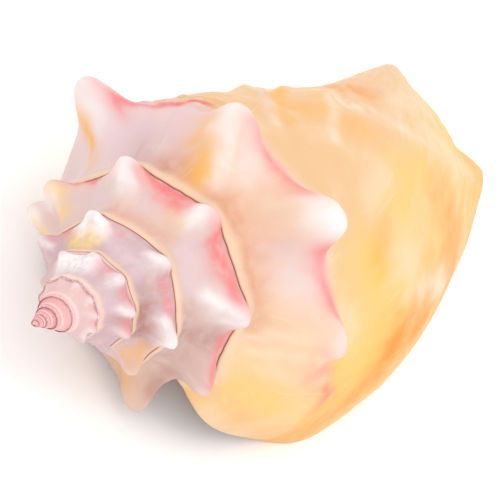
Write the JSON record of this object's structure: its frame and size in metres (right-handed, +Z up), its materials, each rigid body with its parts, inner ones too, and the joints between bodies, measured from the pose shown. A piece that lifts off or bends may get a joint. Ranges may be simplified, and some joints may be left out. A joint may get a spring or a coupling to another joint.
{
  "type": "conch shell",
  "caption": "Large right-handed conch shell with a knobbed spire and a flared outer lip, lying on its opening.",
  "frame": {"origin": "middle of the footprint, on the surface the shell lies on", "axes": "+Z up; the tip of the spire points to -Y and the front end to +Y; the outer lip is on the +X side and the back of the last coil faces up"},
  "size_m": [0.1402, 0.2392, 0.1054],
  "materials": {
    "shell": "satin, pale pink to peach and orange"
  },
  "bodies": {
    "root": {"shell": "shell"}
  },
  "joints": []
}
